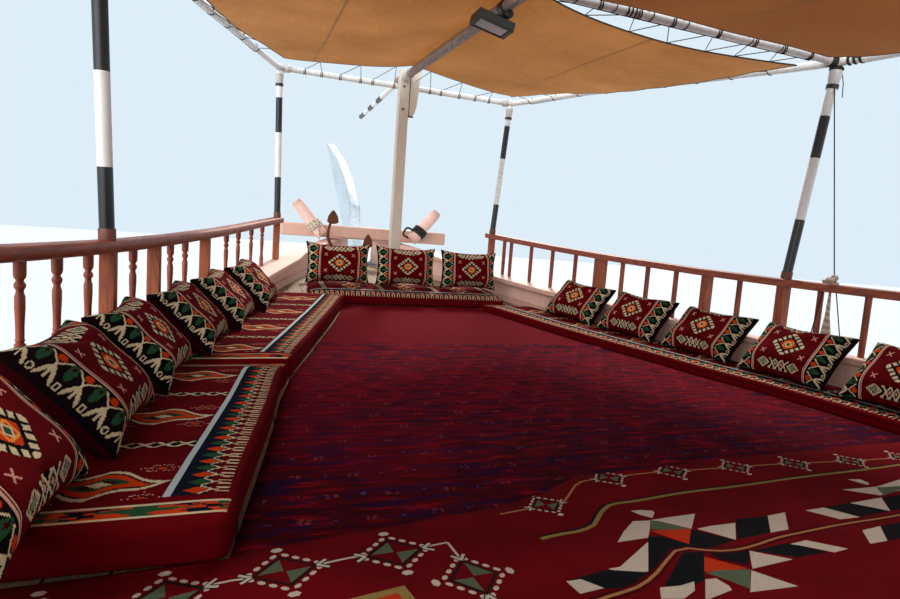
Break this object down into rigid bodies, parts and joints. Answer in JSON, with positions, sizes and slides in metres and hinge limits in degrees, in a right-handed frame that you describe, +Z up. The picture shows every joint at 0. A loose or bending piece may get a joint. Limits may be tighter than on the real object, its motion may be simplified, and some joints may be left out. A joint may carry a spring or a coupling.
{
  "type": "dhow sailing boat",
  "caption": "Wooden motor dhow with a raking stem, railed foredeck laid with carpets, mattresses and patterned cushions, cloth awning on banded posts, wheelhouse, rudder and propeller",
  "frame": {"origin": "amidships on the waterline, on the centreline", "axes": "X to starboard, Y forward, Z up"},
  "size_m": [4.9808, 19.8531, 5.5133],
  "materials": {
    "hull_wood": "oiled planks",
    "stem_paint": "gloss paint",
    "deck_wood": "worn planks",
    "bulwark_paint": "salmon gloss paint",
    "rail_wood": "varnish",
    "bronze": "dull",
    "post_paint": "white and black bands",
    "pipe_paint": "gloss paint",
    "awning_cloth": "woven canvas",
    "mast_paint": "matt paint",
    "spar_wood": "weathered",
    "lamp_housing": "black coat",
    "anchor_iron": "rusty",
    "mattress_cloth": "woven",
    "cushion_cloth": "woven",
    "carpet_wool": "pile",
    "kilim_wool": "flat weave",
    "house_paint": "gloss paint",
    "engine_iron": "painted"
  },
  "bodies": {
    "boat": {"hull": "hull_wood", "keel_and_stem": "stem_paint", "deck": "deck_wood", "deck_aft": "deck_wood", "hatch_coaming": "deck_wood", "bulwark_port": "bulwark_paint", "bulwark_starboard": "bulwark_paint", "stern_board": "hull_wood", "rail_port": "rail_wood", "rail_starboard": "rail_wood", "post_port_1": "post_paint", "post_port_2": "post_paint", "post_port_3": "post_paint", "post_starboard_1": "post_paint", "post_starboard_2": "post_paint", "post_starboard_3": "post_paint", "side_pipe_port": "pipe_paint", "side_pipe_starboard": "pipe_paint", "cross_pipe_1": "pipe_paint", "cross_pipe_2": "pipe_paint", "cross_pipe_3": "pipe_paint", "awning_fore": "awning_cloth", "awning_middle": "awning_cloth", "awning_aft": "awning_cloth", "mast_post": "mast_paint", "ridge_spar": "spar_wood", "bow_staff": "post_paint", "floodlight": "lamp_housing", "bow_beam": "bulwark_paint", "bitt_port": "bulwark_paint", "bitt_starboard": "bulwark_paint", "grapnel": "anchor_iron", "mattress_port_1": "mattress_cloth", "mattress_port_2": "mattress_cloth", "mattress_starboard": "mattress_cloth", "mattress_front": "mattress_cloth", "cushion_port_1": "cushion_cloth", "cushion_port_2": "cushion_cloth", "cushion_port_3": "cushion_cloth", "cushion_port_4": "cushion_cloth", "cushion_port_5": "cushion_cloth", "cushion_port_6": "cushion_cloth", "cushion_starboard_1": "cushion_cloth", "cushion_starboard_2": "cushion_cloth", "cushion_starboard_3": "cushion_cloth", "cushion_starboard_4": "cushion_cloth", "cushion_starboard_5": "cushion_cloth", "cushion_front_1": "cushion_cloth", "cushion_front_2": "cushion_cloth", "cushion_front_3": "cushion_cloth", "carpet": "carpet_wool", "kilim": "kilim_wool", "wheelhouse": "house_paint", "wheelhouse_roof": "house_paint", "engine": "engine_iron"},
    "rudder": {"rudder": "hull_wood"},
    "propeller": {"propeller": "bronze"},
    "helm": {"helm_wheel": "rail_wood"},
    "door": {"wheelhouse_door": "rail_wood"},
    "hatch_lid": {"engine_hatch": "deck_wood"}
  },
  "joints": [
    {"name": "rudder_turn", "type": "hinge", "parent": "boat", "child": "rudder", "pos_m": [0, -7.103, -1.56], "axis": [0, -0.3479, 0.9375], "range_deg": [-35, 35]},
    {"name": "helm_turn", "type": "hinge", "parent": "boat", "child": "helm", "pos_m": [0, -3.91, 2.5985], "axis": [0, 1, 0], "range_deg": [-540, 540]},
    {"name": "propeller_turn", "type": "hinge", "parent": "boat", "child": "propeller", "pos_m": [0, -6.54, -0.88], "axis": [0, 1, 0], "continuous": true},
    {"name": "door_swing", "type": "hinge", "parent": "boat", "child": "door", "pos_m": [-1.262, -4.404, 2.5], "axis": [0, 0, -1], "range_deg": [0, 100]},
    {"name": "hatch_lift", "type": "hinge", "parent": "boat", "child": "hatch_lid", "pos_m": [0, -2.79, 1.3975], "axis": [1, 0, 0], "range_deg": [0, 90]}
  ],
  "couplings": [
    {"joint": "helm_turn", "follows": "rudder_turn", "ratio": 15.4}
  ]
}
